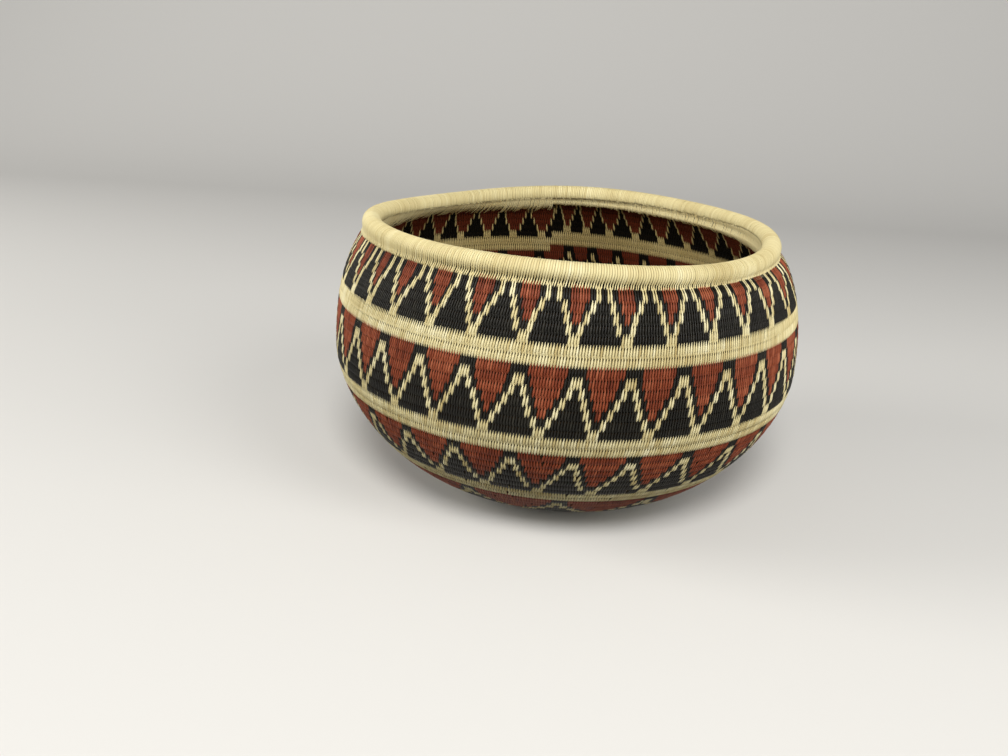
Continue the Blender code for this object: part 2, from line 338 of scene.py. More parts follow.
def hand_warp(points):
    """The rim isn't quite level: it rises and dips round the mouth, and sits a little to one side."""
    share = np.clip((points[..., 2] - WARP_FROM) / (WARP_FULL - WARP_FROM), 0.0, 1.0)
    share = share * share * (3 - 2 * share)
    angle = np.arctan2(points[..., 1], points[..., 0])
    moved = points.copy()
    rise = RIM_SINK
    for times, height, crest in RIM_WAVES:
        rise = rise + height * np.cos(times * angle - math.radians(crest))
    moved[..., 2] += share * rise
    moved[..., 0] += share * RIM_SHIFT
    return moved


def closed_strands(sections):
    """Vertices, side faces and end faces of strands. Sections are strands x stations x points round x 3."""
    strands, stations, ring, _ = sections.shape
    vertices = sections.reshape(-1, 3)
    station, point = np.mgrid[0:stations - 1, 0:ring]
    corner = station * ring + point
    side = station * ring + (point + 1) % ring
    quads = np.stack([corner, side, side + ring, corner + ring], axis=-1).reshape(-1, 4)
    start = np.arange(ring)[::-1]
    end = (stations - 1) * ring + np.arange(ring)
    offsets = np.arange(strands) * stations * ring
    quads = (quads[None] + offsets[:, None, None]).reshape(-1, 4)
    caps = np.concatenate([(start[None] + offsets[:, None]), (end[None] + offsets[:, None])])
    return vertices, quads, caps


def strand_maps(strands, stations, ring, lengths, widths, first_cell, cells):
    """Map coordinates of the corners: a cell of the bake's map each, and a lengthwise map for fibres."""
    columns = math.ceil(math.sqrt(cells))
    order = np.arange(strands) + first_cell
    cell = np.stack([order % columns, order // columns], axis=-1) / columns
    station, point = np.mgrid[0:stations - 1, 0:ring]
    across = np.stack([point, point + 1, point + 1, point], axis=-1).reshape(-1) / ring
    along = np.stack([station, station, station + 1, station + 1], axis=-1).reshape(-1) / (stations - 1)
    span = 1 - 2 * CELL_SIDE
    inner = np.stack([CELL_SIDE + span * across, CELL_END + (1 - 2 * CELL_END) * along], axis=-1) / columns
    bake = [(cell[:, None, :] + inner[None]).reshape(-1, 2)]
    shift = default_rng(5 + first_cell).random((strands, 2)) * FIBRE_SPREAD
    fibre = np.stack([across[None] * widths[:, None], along[None] * lengths[:, None]], axis=-1)
    fibre = (fibre + shift[:, None, :]).reshape(-1, 2)
    for place, toward in ((CELL_END, -END_STRIP), (1 - CELL_END, END_STRIP)):
        turn = np.arange(ring)
        if toward < 0:
            turn = turn[::-1]
        spread = np.stack([CELL_SIDE + span * turn / ring, place + toward * (turn % 2)], axis=-1) / columns
        bake.append((cell[:, None, :] + spread[None]).reshape(-1, 2))
    fibre_ends = np.repeat(shift, ring, axis=0)
    return np.concatenate(bake), np.concatenate([fibre, fibre_ends, fibre_ends])


def signed_volume(vertices, quads):
    """Below zero where the quads face inward."""
    a, b, c, d = (vertices[quads[:, index]] for index in range(4))
    return np.einsum("ij,ij->i", a, np.cross(b, c)).sum() + np.einsum("ij,ij->i", a, np.cross(c, d)).sum()


def strand_part(sections, tone, length, width):
    """Strands, with their tones and their size in mm on the fibre pattern."""
    count = len(sections)
    return {"sections": sections, "tone": np.full(count, tone), "lengths": np.full(count, length),
            "widths": np.full(count, width)}


def chosen(part, mask):
    """The strands of a part that a mask picks."""
    return {key: values[mask] for key, values in part.items()}


def make_mesh(name, parts):
    """One mesh from parts, each made by strand_part."""
    cells = sum(len(part["sections"]) for part in parts)
    vertices, corners, sizes, bakes, fibres, tones = [], [], [], [], [], []
    placed, cell = 0, 0
    for part in parts:
        sections = part["sections"]
        strands, stations, ring, _ = sections.shape
        points, quads, caps = closed_strands(hand_warp(sections))
        sample = quads[: (stations - 1) * ring]
        flip = signed_volume(points - points[: stations * ring].mean(axis=0), sample) < 0
        bake, fibre = strand_maps(strands, stations, ring, part["lengths"], part["widths"], cell, cells)
        quad_maps = len(quads) * 4
        if flip:
            quads, caps = quads[:, ::-1], caps[:, ::-1]
            for maps in (bake, fibre):
                maps[:quad_maps] = maps[:quad_maps].reshape(-1, 4, 2)[:, ::-1].reshape(-1, 2)
                maps[quad_maps:] = maps[quad_maps:].reshape(-1, ring, 2)[:, ::-1].reshape(-1, 2)
        vertices.append(points)
        corners += [quads.reshape(-1) + placed, caps.reshape(-1) + placed]
        sizes += [np.full(len(quads), 4), np.full(len(caps), ring)]
        bakes.append(bake)
        fibres.append(fibre)
        tones.append(np.repeat(part["tone"], stations * ring))
        placed += len(points)
        cell += strands
    vertices = np.concatenate(vertices)
    corners = np.concatenate(corners).astype(np.int32)
    sizes = np.concatenate(sizes).astype(np.int32)
    mesh = bpy.data.meshes.new(name)
    mesh.vertices.add(len(vertices))
    mesh.vertices.foreach_set("co", vertices.astype(np.float32).reshape(-1))
    mesh.loops.add(len(corners))
    mesh.loops.foreach_set("vertex_index", corners)
    mesh.polygons.add(len(sizes))
    starts = np.concatenate([[0], np.cumsum(sizes)[:-1]]).astype(np.int32)
    mesh.polygons.foreach_set("loop_start", starts)
    mesh.update(calc_edges=True)
    mesh.polygons.foreach_set("use_smooth", np.full(len(sizes), True))
    for map_name, values in (("OFBake", bakes), ("strand", fibres)):
        layer = mesh.uv_layers.new(name=map_name)
        layer.uv.foreach_set("vector", np.concatenate(values).astype(np.float32).reshape(-1))
    tone = mesh.attributes.new("tone", "FLOAT", "POINT")
    tone.data.foreach_set("value", np.concatenate(tones).astype(np.float32))
    mesh.validate()
    mesh.update()
    return mesh


def new_object(name, data):
    """An object in the scene."""
    made = bpy.data.objects.new(name, data)
    bpy.context.scene.collection.objects.link(made)
    return made


def add_piece(name, parts, finish, nodes):
    """One visible piece made of strands, in place of solids."""
    mesh = make_mesh(name, parts)
    mesh.materials.append(finish)
    piece = new_object(name, mesh)
    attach(piece, "root")
    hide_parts(*nodes)


# Stitches

MM = 0.001
# A stitch from foot to tip: width in stitches, rise of its back and drop of its edges from there in mm
STITCH_WIDE = np.array([0.33, 0.68, 0.97, 0.97, 0.64, 0.36, 0.05])
STITCH_RISE = np.array([-0.42, -0.18, 0.0, -0.04, -0.14, -0.20, -0.42])
STITCH_EDGE = np.array([0.12, 0.20, 0.22, 0.22, 0.22, 0.20, 0.05])
# Rows up of all but the last two stations, which lie in the tip that goes into the row above
STITCH_ROWS = np.array([-0.10, 0.04, 0.30, 0.66, 0.93])
# How far into the row above the tip goes, in rows: the least, and what chance adds
TIP_REACH = (0.42, 0.14)
# The same where a cream stitch goes up into black: the least, what drifts along the row, what chance adds
POKE_REACH = (0.30, 0.50, 0.16)
LEAN_OUTSIDE = 0.5  # stitches that a tip lies on from its foot
LEAN_INSIDE = 0.2
PAINTED_INSIDE_SHADE = 0.15  # tones inside, as a share of those outside: painted shade, as the inside of the bowl lies in shadow
BASE_HOLE = 0.0006  # no stitch begins nearer than this to the middle of the base
LEAST_LENGTH = 0.0003  # and no foot reaches nearer
LEAST_STEP = 0.00002  # between two stations of a stitch that is cut short
TIP_FIRST = 0.40  # where the first of the tip's two stations lies, as a share of its reach
TIP_OVER = 1.15  # rows up at which a stitch has come over to its tip's place
WIDTH_CHANCE = (0.97, 0.06)  # least share of its width that a stitch has, and what chance adds
RISE_CHANCE = 0.05  # mm
PLACE_CHANCE = 0.05  # of a stitch's width
# The row under the neck: its tips outside run under the legs of the wraps
TOP_ROW_REACH = 0.80
TOP_ROW_WIDE = np.array([0.33, 0.68, 0.97, 0.97, 0.64, 0.72, 0.40])
# The neck row's own stitches, only outside and on the last part of its turn
NECK_REACH = 0.45
NECK_LEAN = 1.1  # stitches that a tip lies on from its foot
NECK_SLIM = 0.64
NECK_SUNK = 0.0006  # they lie this much further in at their feet
NECK_DEEPER = 0.0009  # and this much more at their tips
NECK_FROM = 0.63  # share of a turn past the jog where they begin
NECK_ROOM = 0.0003  # least wall below the rim that takes one
NECK_OVER = 0.0016  # how far past the wall's top they may go


def chance(rng, size, least=-0.5, extra=1.0):
    """Values by chance: a least one, and what chance adds to it."""
    return least + extra * rng.random(size)


def smooth_noise(count, knots, seed):
    """Values from 0 to 1 that drift round a row and close on themselves."""
    rng = default_rng(seed)
    values = rng.random(knots)
    values = np.append(values, values[0])
    return np.interp(np.linspace(0, knots, count, endpoint=False), np.arange(knots + 1), values)


def strand_tones(count, rng, middle, spread, drift, knots, seed):
    """Tones from 0 to 1: about a middle, spread from strand to strand and drifting along the row."""
    wander = smooth_noise(count, knots, seed) - 0.5
    return np.clip(middle + spread * rng.standard_normal(count) + drift * wander, 0.0, 1.0)


def row_tips(row, side, share, seed, rng):
    """Angles of the tips of a row's stitches, and how far they go into the row above."""
    count = COUNTS[row]
    reach = chance(rng, count, *TIP_REACH)
    if row == NECK_ROW:
        return JOG_ANGLE + math.tau * share + NECK_LEAN / count * math.tau, np.full(count, NECK_REACH)
    paint = PAINT if side > 0 else PAINT_INSIDE
    above = row + 1
    lean = LEAN_OUTSIDE if side > 0 else LEAN_INSIDE
    place = (share + lean / count) * COUNTS[above] - PHASES[above]
    tip_share = (np.floor(place) + 0.5 + PHASES[above]) / COUNTS[above]
    over = np.clip(np.floor(place + 0.5).astype(int), 0, COUNTS[above] - 1)
    pokes = (paint[row] == CREAM) & (paint[above][over] == CHARCOAL)
    drift = smooth_noise(count, max(count // 9, 4), 50 + seed)
    long_reach = POKE_REACH[0] + POKE_REACH[1] * drift + POKE_REACH[2] * rng.random(count)
    reach = np.where(pokes, long_reach, reach)
    if above == NECK_ROW and side > 0:
        reach = np.full(count, TOP_ROW_REACH)
    return JOG_ANGLE + math.tau * tip_share, reach


def row_stitches(row, side):
    """The stitches of one row on one side of the wall, and the colour of each."""
    count = COUNTS[row]
    pitch = math.tau / count
    seed = (row + 3) * 2 + (side < 0)
    rng = default_rng(1000 + seed)
    share = (np.arange(count) + PHASES[row]) / count
    turns = row + share
    angle = JOG_ANGLE + math.tau * share
    bottom = row_bottom(turns)
    height = row_bottom(turns + 1) - bottom
    keep = bottom > BASE_HOLE
    tip_angle, reach = row_tips(row, side, share, seed, rng)
    wide = TOP_ROW_WIDE if row == NECK_ROW - 1 and side > 0 else STITCH_WIDE
    slim = 1.0
    if row == NECK_ROW:
        keep &= (bottom < NECK_TOP - NECK_ROOM) & (share > NECK_FROM) & (side > 0)
        height = np.full(count, ROW_PITCH)
        slim = NECK_SLIM
    tip_rows = [(1.0 + TIP_FIRST * reach)[:, None], (1.0 + reach)[:, None]]
    rows_up = np.concatenate([np.tile(STITCH_ROWS, (count, 1)), *tip_rows], axis=1)
    wide = wide * chance(rng, (count, 1), *WIDTH_CHANCE)
    rise = STITCH_RISE + RISE_CHANCE * chance(rng, (count, 1))
    length = bottom[:, None] + rows_up * height[:, None]
    back = np.interp(turns, THICKNESS_AT, THICKNESS)[:, None] + rise * MM
    if row == NECK_ROW:
        length = np.minimum(length, NECK_TOP + NECK_OVER)
        length[:, 1:] = np.maximum(length[:, 1:], length[:, :-1] + LEAST_STEP)
        back = back - NECK_SUNK - NECK_DEEPER * np.clip(rows_up, 0.0, 1.0)
    length = np.maximum(length, LEAST_LENGTH)
    edges = back - STITCH_EDGE * MM
    centre = angle[:, None] + (tip_angle - angle)[:, None] * np.clip(rows_up / TIP_OVER, 0.0, 1.0)
    centre = centre + chance(rng, (count, 1)) * PLACE_CHANCE / count * math.tau
    half = wide * slim * pitch / 2
    edge_place = section_place(length, side * edges)
    back_place = section_place(length, side * back)
    sections = np.stack([swing(centre - half, edge_place), swing(centre, back_place),
                         swing(centre + half, edge_place)], axis=2)
    tone = strand_tones(count, rng, middle=0.5, spread=0.14, drift=0.35, knots=max(count // 14, 4),
                        seed=300 + seed)
    # painted shade: the stitches inside the bowl are made darker in tone, standing for the shadow there
    if side < 0:
        tone = tone * PAINTED_INSIDE_SHADE
    width = 3 * pitch * wall_frame(bottom)[0] / MM
    stitches = strand_part(sections, tone, (1.0 + reach) * height / MM, width)
    paint = PAINT if side > 0 else PAINT_INSIDE
    return chosen(stitches, keep), paint[row][keep]


# Coil inside the stitches, and the start knot

STATION_SPACING = 0.0030  # between two stations of the coil, at most
STATION_RADIUS = 0.002  # least radius that the spacing is worked out for
STATIONS_A_TURN = 14  # at least
CORE_SLACK = 0.00042  # from the stitches' backs in to the coil
NECK_SLACK = 0.00085
CORE_HOLE = 0.0002  # the coil begins this far from the middle of the base
CORE_FILL = 1.03  # height of the coil, as a share of its row's
CORE_THINNING = (1.15, 0.3)  # as a row gets lower: the coil's depth to its height, and the least depth
CORE_SIDES = 8
CORE_SQUARE = 0.9  # exponent that makes its section a little squarer
CORE_GRAIN = 0.04

KNOT_STRANDS = 8
KNOT_ORDER = 3  # each next strand lies this many places further round
KNOT_REACH = 0.0030
KNOT_HALF_WIDTH = 0.00050
KNOT_BEND = 0.00045  # how far the strands' ends dip
KNOT_CROWN = 0.00012
KNOT_LIFT = (0.00004, 0.00002)  # from strand to strand, inside and underneath
UNDER_BASE = 0.00002  # height above the ground just below the lowest strand


def spiral_stations(first, last):
    """Turns of the coil at the stations of a stretch of it."""
    turns = [first]
    while turns[-1] < last:
        radius = max(float(wall_frame(row_bottom(turns[-1] + 0.5))[0]), STATION_RADIUS)
        turns.append(turns[-1] + min(STATION_SPACING / (math.tau * radius), 1 / STATIONS_A_TURN))
    turns[-1] = last
    return np.array(turns)


def coil_core(name, first, rows):
    """The foundation coil inside a band's stitches."""
    turns = spiral_stations(float(first), float(first + rows))
    low = np.maximum(row_bottom(turns), CORE_HOLE)
    high = row_bottom(turns + 1)
    slack = CORE_SLACK
    if name == "neck":
        high = np.full(len(turns), NECK_TOP)
        slack = NECK_SLACK
    middle = (low + high) / 2
    half = (high - low) / 2 * CORE_FILL
    thinning = np.clip((high - low) / ROW_PITCH * CORE_THINNING[0], CORE_THINNING[1], 1.0)
    depth = (np.interp(turns, THICKNESS_AT, THICKNESS) - slack) * thinning
    around = np.arange(CORE_SIDES) * math.tau / CORE_SIDES + math.tau / (2 * CORE_SIDES)
    up = np.sign(np.sin(around)) * np.abs(np.sin(around)) ** CORE_SQUARE
    out = np.cos(around)
    grain = 1 + CORE_GRAIN * chance(default_rng(77), (len(turns), CORE_SIDES))
    length = middle[:, None] + half[:, None] * up / up.max()
    rise = depth[:, None] * out / out.max() * grain
    sections = swing(JOG_ANGLE + math.tau * turns[:, None], section_place(length, rise))[None]
    return strand_part(sections, tone=0.5, length=len(turns) * STATION_SPACING / MM, width=10.0)


def knot_strands():
    """Strands crossed over the middle of the base, inside the bowl and under it."""
    along = np.linspace(-1.0, 1.0, 9)[:, None]
    across = np.array([-1.0, -0.5, 0.5, 1.0]) * KNOT_HALF_WIDTH
    sections = []
    for surface, outward in ((2 * HALF_ROW, 1.0), (UNDER_BASE, -1.0)):
        for strand in range(KNOT_STRANDS):
            turn = math.pi * ((strand * KNOT_ORDER) % KNOT_STRANDS + 0.5) / KNOT_STRANDS
            crown = np.array([-KNOT_CROWN, 0.0, 0.0, -KNOT_CROWN])
            if outward > 0:
                crown = crown + KNOT_CROWN
                lift = KNOT_LIFT[0] * strand
            else:
                lift = -KNOT_LIFT[1] * (KNOT_STRANDS - strand)
            x = along * KNOT_REACH * math.cos(turn) - across * math.sin(turn)
            y = along * KNOT_REACH * math.sin(turn) + across * math.cos(turn)
            z = surface + outward * (-KNOT_BEND * np.abs(along) ** 3 + lift + crown)
            sections.append(np.stack([x, y, z], axis=-1))
    tone = np.linspace(0.3, 0.7, len(sections))
    return strand_part(np.stack(sections), tone, length=2 * KNOT_REACH / MM, width=2.0)


# Rim

RIM_OUT = 0.0001  # its middle lies this much further out than the solid rim's
RIM_DOWN = 0.00005  # and this much lower
RIM_RISE = RIM_RADIUS + RIM_SEAT_GAP
WRAP_RADIUS = 0.0036  # to the backs of the wraps
BUNDLE_SLACK = 0.00034  # from there in to the bundle
NECK_RADIUS, NECK_HEIGHT, NECK_LEANING = (float(value) for value in wall_frame(NECK_TOP))
RIM_LEAN = NECK_LEANING * RIM_LEAN_SHARE
RIM_CENTRE = np.array([NECK_RADIUS + RIM_RISE * math.sin(RIM_LEAN) + RIM_OUT,
                       NECK_HEIGHT + RIM_RISE * math.cos(RIM_LEAN) - RIM_DOWN])

# The wraps round the rim, and their places as shares of a turn past the jog
WRAPS = COUNTS[NECK_ROW]
WRAP_STEP = math.tau / WRAPS
WRAP_SHARES = (np.arange(WRAPS) + PHASES[NECK_ROW] + 0.5) / WRAPS
WRAP_ANGLES = (JOG_ANGLE + math.tau * WRAP_SHARES)[:, None]

# What changes round the rim, by share of a turn past the jog
# How slender the wraps' legs are outside, 0 to 1
SLENDER_AT = [0.0, 0.32, 0.42, 0.57, 0.63, 1.0]
SLENDER = [0.0, 0.0, 1.0, 1.0, 0.35, 0.2]
# How far above the pattern's last row the legs end
LEG_END_AT = [0.0, 0.22, 0.31, 0.36, 0.42, 0.56, 0.62, 0.70, 1.0]
LEG_END = [0.0002, 0.0002, 0.0020, 0.0018, 0.0011, 0.0010, 0.0016, 0.0010, 0.0002]
# At the seam inside: degrees round the rim where the wraps dive in, the share of open ends there, and for the
# lapping below its swell, how soon it swells, and its tone, which is painted light: higher where more light
# falls on it
SEAM_AT = [0.0, 0.30, 0.60, 0.78, 0.83, 0.93, 0.99, 1.0]
SEAM_TURNS = [214, 214, 190, 186, 200, 208, 214, 214]
OPEN_ENDS = [0.0, 0.0, 0.0, 0.06, 0.30, 0.15, 0.0, 0.0]
INNER_SWELLS = [0.0010, 0.0012, 0.0026, 0.0027, 0.0023, 0.0012, 0.0009, 0.0009]
INNER_STARTS = [0.36, 0.36, 0.50, 0.70, 0.90, 0.60, 0.36, 0.36]
INNER_LIGHT_TONES = [0.85, 0.85, 0.95, 1.0, 1.0, 0.90, 0.85, 0.85]
# How far below the neck row the inner lapping reaches, in rows
INNER_REACH_AT = [0.0, 0.04, 0.12, 0.17, 0.30, 0.66, 0.72, 0.76, 0.80, 0.88, 0.95, 1.0]
INNER_REACH = [0.1, 0.6, 0.5, 1.1, 1.0, 2.2, 2.6, 1.6, 0.5, 0.3, 0.0, 0.0]

# A wrap from its foot outside to the seam, as stations and values: how far on round the rim it lies, how far
# chance moves it, its width and what slenderness takes off that, in stitches, and the drop to its edges
WRAP_SLANT = [(0, -1.7), (5, -0.8), (8, -0.1), (19, 0.5)]
WRAP_WANDER = [(0, 0.34), (4, 0.20), (7, 0.06), (19, 0.06)]
WRAP_WIDTH = [(0, 0.50), (1, 0.84), (3, 0.96), (5, 1.02), (8, 1.05),
              (16, 1.04), (17, 0.98), (18, 0.84), (19, 0.50)]
WRAP_SLIMMING = [(0, 0.16), (1, 0.32), (4, 0.40), (5, 0.28), (6, 0.12), (8, 0.0), (19, 0.0)]
WRAP_CROWN = [(0, 0.00034), (4, 0.00030), (7, 0.00013), (19, 0.00013)]
WRAP_CLOSED_END = [1.04, 1.02, 0.97]  # widths at its end where no gap shows in the seam
WRAP_WIDTH_CHANCE = (0.985, 0.03)  # least share of its width that it has, and what chance adds
SLIMMING_CHANCE = (0.65, 0.6)
REACH_CHANCE = 0.00006
ARC_STATIONS = 15
LEG_ROOM = 0.0006  # least height of wall above a leg's end
LEG_CHANCE = 0.00025
LONG_LEG = (0.0010, 0.0030)  # a leg is long with its foot this clear of the rim, in full this much further
LONG_HUG = 0.75  # radians further down that it follows the rim's curve
SLENDER_HUG = 0.50  # the same for a slender leg
LEG_CURVE = (0.40, 0.30)  # how firmly a leg leaves its foot, and how firmly it meets the rim
LEG_RISE = 0.00172  # of its foot, out of the wall's middle
LEG_TUCK = (0.0004, 0.00120)  # its tucked end: how far below the foot, and its rise

# The same for a strand of the inner lapping, from the seam down
INNER_SLANT = [(0, 0.45), (3, 0.9), (8, 2.6)]
INNER_WANDER = 0.16
INNER_WIDTH = [(0, 0.36), (1, 0.72), (2, 0.98), (4, 1.02), (6, 0.90), (7, 0.66), (8, 0.34)]
INNER_CROWN = 0.00014
INNER_CLOSED_END = [0.95, 1.0]
INNER_WIDTH_CHANCE = (0.95, 0.08)
INNER_SINK = 0.00005  # it lies this much deeper than the wraps
INNER_SHARES = np.array([0.14, 0.45, 0.72, 1.0])  # its stations from the rim down onto the wall
INNER_BULGE = [0.0, 1.0, 0.80, 0.0]  # share of the swell at each, the first of them set by INNER_STARTS
INNER_LEAST_ARC = 0.15  # radians that it stays on the rim's curve
INNER_ROOM = 0.0010  # least height of wall above its end
INNER_CHANCE = 0.60  # rows
INNER_RISE = -0.00186
INNER_TUCK = (0.0005, -0.00135)
SEAM_OVERLAP = 0.16  # radians that it begins under the wraps' ends
OPEN_CHANCE = 0.70  # radians by which the ends of both stagger where all are open


def round_rim(places, values):
    """A value for every wrap, from those at shares of a turn past the jog."""
    return np.interp(WRAP_SHARES, places, values)


def profile(stations, points):
    """A value for every station, from pairs of a station and its value."""
    places, values = zip(*points)
    return np.interp(np.arange(stations), places, values)


def tangent_turn(place, reach, sign):
    """Turn round the rim at which a line from a place touches it, and the place's distance."""
    arm = place - RIM_CENTRE
    distance = np.hypot(arm[:, 0], arm[:, 1])
    return np.arctan2(arm[:, 1], arm[:, 0]) + sign * np.arccos(np.clip(reach / distance, -1, 1)), distance


def arc_places(start, end, reach, stations):
    """Places in the section from one turn round the rim to another."""
    turn = start[:, None] + (end - start)[:, None] * np.linspace(0, 1, stations)
    return RIM_CENTRE + reach[:, None, None] * np.stack([np.cos(turn), np.sin(turn)], axis=-1)


def outer_lap(low, slender, seam, reach):
    """Line of a wrap in the section: up the neck outside, round the rim, to the seam inside.

    A long or slender leg follows the rim further down than a straight one would, and hollows below it.
    """
    foot = section_place(low, LEG_RISE)
    start, distance = tangent_turn(foot, reach, 1)
    long = np.clip((distance - reach - LONG_LEG[0]) / LONG_LEG[1], 0.0, 1.0)
    start = start - LONG_HUG * long - SLENDER_HUG * slender
    arc = arc_places(start, seam, reach, ARC_STATIONS)
    tangent = np.stack([np.sin(start), -np.cos(start)], axis=-1)
    room = np.hypot(*(arc[:, 0] - foot).T)[:, None]
    lean = wall_frame(low)[2]
    leave = foot + np.stack([np.sin(lean), np.cos(lean)], axis=-1) * LEG_CURVE[0] * room
    arrive = arc[:, 0] + tangent * LEG_CURVE[1] * room
    share = np.array([0.0, 0.25, 0.5, 0.75])[None, :, None]
    rise = ((1 - share) ** 3 * foot[:, None] + 3 * share * (1 - share) ** 2 * leave[:, None]
            + 3 * share ** 2 * (1 - share) * arrive[:, None] + share ** 3 * arc[:, :1])
    tuck = section_place(low - LEG_TUCK[0], LEG_TUCK[1])
    return np.concatenate([tuck[:, None], rise, arc], axis=1)


def inner_lap(seam, low, reach, swell, first):
    """Line of an inner strand: from the seam down the slope onto the wall inside."""
    foot = section_place(low, INNER_RISE)
    end, _ = tangent_turn(foot, reach, -1)
    end = np.where(end < 0, end + math.tau, end)
    arc = arc_places(seam, np.maximum(end, seam + INNER_LEAST_ARC), reach, 4)
    run = arc[:, -1:] + (foot[:, None] - arc[:, -1:]) * INNER_SHARES[None, :, None]
    chord = foot - arc[:, -1]
    inward = np.stack([chord[:, 1], -chord[:, 0]], axis=-1) / np.hypot(chord[:, 0], chord[:, 1])[:, None]
    bulge = np.tile(INNER_BULGE, (WRAPS, 1))
    bulge[:, 0] = first
    run = run + inward[:, None] * (bulge * swell[:, None])[..., None]
    tuck = section_place(low - INNER_TUCK[0], INNER_TUCK[1])
    return np.concatenate([arc, run, tuck[:, None]], axis=1)


def lap_strands(path, centre, wide, crown):
    """Flat rounded strands along paths in the section, each at its own angle round the bowl."""
    along = np.gradient(path, axis=1)
    along = along / np.hypot(along[..., 0], along[..., 1])[..., None]
    normal = np.stack([along[..., 1], -along[..., 0]], axis=-1)
    half = wide * WRAP_STEP / 2
    rings = []
    for sideways, drop in ((-1.0, 1.0), (-0.45, 0.08), (0.45, 0.08), (1.0, 1.0)):
        place = path - normal * (crown * drop)[:, None]
        rings.append(swing(centre + half * sideways, place))
    return np.stack(rings, axis=2)


def seam_places(rng, overlap):
    """For every wrap the share of open ends, and the turn round the rim where its strand ends at the seam."""
    openness = round_rim(SEAM_AT, OPEN_ENDS)
    seam = np.radians(round_rim(SEAM_AT, SEAM_TURNS)) - overlap
    return openness, seam + OPEN_CHANCE * openness * chance(rng, WRAPS)


def rim_wraps(rng):
    """Strands lapped round the rim, from their feet outside to the seam inside."""
    slender = round_rim(SLENDER_AT, SLENDER)
    low = row_bottom(NECK_ROW + WRAP_SHARES) + round_rim(LEG_END_AT, LEG_END)
    low = np.minimum(low, NECK_TOP - LEG_ROOM)
    low = low + LEG_CHANCE * chance(rng, WRAPS)
    reach = WRAP_RADIUS + REACH_CHANCE * chance(rng, WRAPS)
    openness, seam = seam_places(rng, 0.0)
    path = outer_lap(low, slender, seam, reach)
    stations = path.shape[1]
    slant = profile(stations, WRAP_SLANT) * WRAP_STEP
    wander = profile(stations, WRAP_WANDER) * WRAP_STEP
    centre = WRAP_ANGLES + slant + wander * chance(rng, (WRAPS, 1))
    slimming = slender * chance(rng, WRAPS, *SLIMMING_CHANCE)
    wide = profile(stations, WRAP_WIDTH) - profile(stations, WRAP_SLIMMING) * slimming[:, None]
    open_end = rng.random(WRAPS) < openness
    wide[:, -3:] = np.where(open_end[:, None], wide[:, -3:], WRAP_CLOSED_END)
    wide = wide * chance(rng, (WRAPS, 1), *WRAP_WIDTH_CHANCE)
    sections = lap_strands(path, centre, wide, profile(stations, WRAP_CROWN))
    tone = strand_tones(WRAPS, rng, middle=0.42, spread=0.07, drift=0.10, knots=50, seed=9)
    return strand_part(sections, tone, length=16.0, width=3.0)


def inner_lapping(rng):
    """Strands that carry on from the seam onto the wall inside."""
    openness, seam = seam_places(rng, SEAM_OVERLAP)
    low = row_bottom(NECK_ROW + WRAP_SHARES) - ROW_PITCH * round_rim(INNER_REACH_AT, INNER_REACH)
    low = low + ROW_PITCH * INNER_CHANCE * chance(rng, WRAPS)
    low = np.minimum(low, NECK_TOP - INNER_ROOM)
    reach = np.full(WRAPS, WRAP_RADIUS - INNER_SINK)
    path = inner_lap(seam, low, reach, round_rim(SEAM_AT, INNER_SWELLS), round_rim(SEAM_AT, INNER_STARTS))
    stations = path.shape[1]
    slant = profile(stations, INNER_SLANT) * WRAP_STEP
    centre = WRAP_ANGLES + slant + INNER_WANDER * WRAP_STEP * chance(rng, (WRAPS, 1))
    wide = np.tile(profile(stations, INNER_WIDTH), (WRAPS, 1))
    open_end = rng.random(WRAPS) < openness
    wide[:, :2] = np.where(open_end[:, None], wide[:, :2], INNER_CLOSED_END)
    wide = wide * chance(rng, (WRAPS, 1), *INNER_WIDTH_CHANCE)
    sections = lap_strands(path, centre, wide, np.full(stations, INNER_CROWN))
    # painted light: the lapping's tones are raised round the rim where more light falls on it
    middle = round_rim(SEAM_AT, INNER_LIGHT_TONES)
    tone = strand_tones(WRAPS, rng, middle, spread=0.12, drift=0.12, knots=40, seed=19)
    return strand_part(sections, tone, length=8.0, width=3.0)


def rim_bundle():
    """The thick bundle inside the wraps."""
    angles = np.linspace(0, math.tau, 241)[:, None]
    around = np.arange(12) * math.tau / 12
    grain = 1 + 0.02 * chance(default_rng(3), 12)
    reach = ((WRAP_RADIUS - BUNDLE_SLACK) * grain)[None, :, None]
    place = RIM_CENTRE + reach * np.stack([np.cos(around), np.sin(around)], axis=-1)
    return strand_part(swing(JOG_ANGLE + angles, place)[None], tone=0.5, length=480.0, width=18.0)


# Materials

FIBRE_SCALE = (5.0, 0.35, 1.0)  # of the fibre pattern, across a strand and along it
STAIN_SCALE = 70.0
FIBRE_SHARE = 0.5  # of the tones' whole range
STAIN_SHARE = 0.55
BUMP_DEPTH = 0.00006
ROUGHER = (-0.10, 0.14)  # what the fibres take off the roughness and add to it


def new_material(name):
    """A material, its nodes, their links and its shader."""
    made = bpy.data.materials.new(name)
    made.use_nodes = True
    tree = made.node_tree
    return made, tree.nodes, tree.links, tree.nodes["Principled BSDF"]


def new_node(nodes, kind, **values):
    """A new node with some of its inputs set."""
    made = nodes.new("ShaderNode" + kind)
    for name, value in values.items():
        made.inputs[name.replace("_", " ")].default_value = value
    return made


def math_node(nodes, links, operation, *values):
    """Output of a maths node whose inputs are numbers or other nodes' outputs."""
    made = new_node(nodes, "Math")
    made.operation = operation
    for entry, value in zip(made.inputs, values):
        if isinstance(value, float):
            entry.default_value = value
        else:
            links.new(value, entry)
    return made.outputs[0]


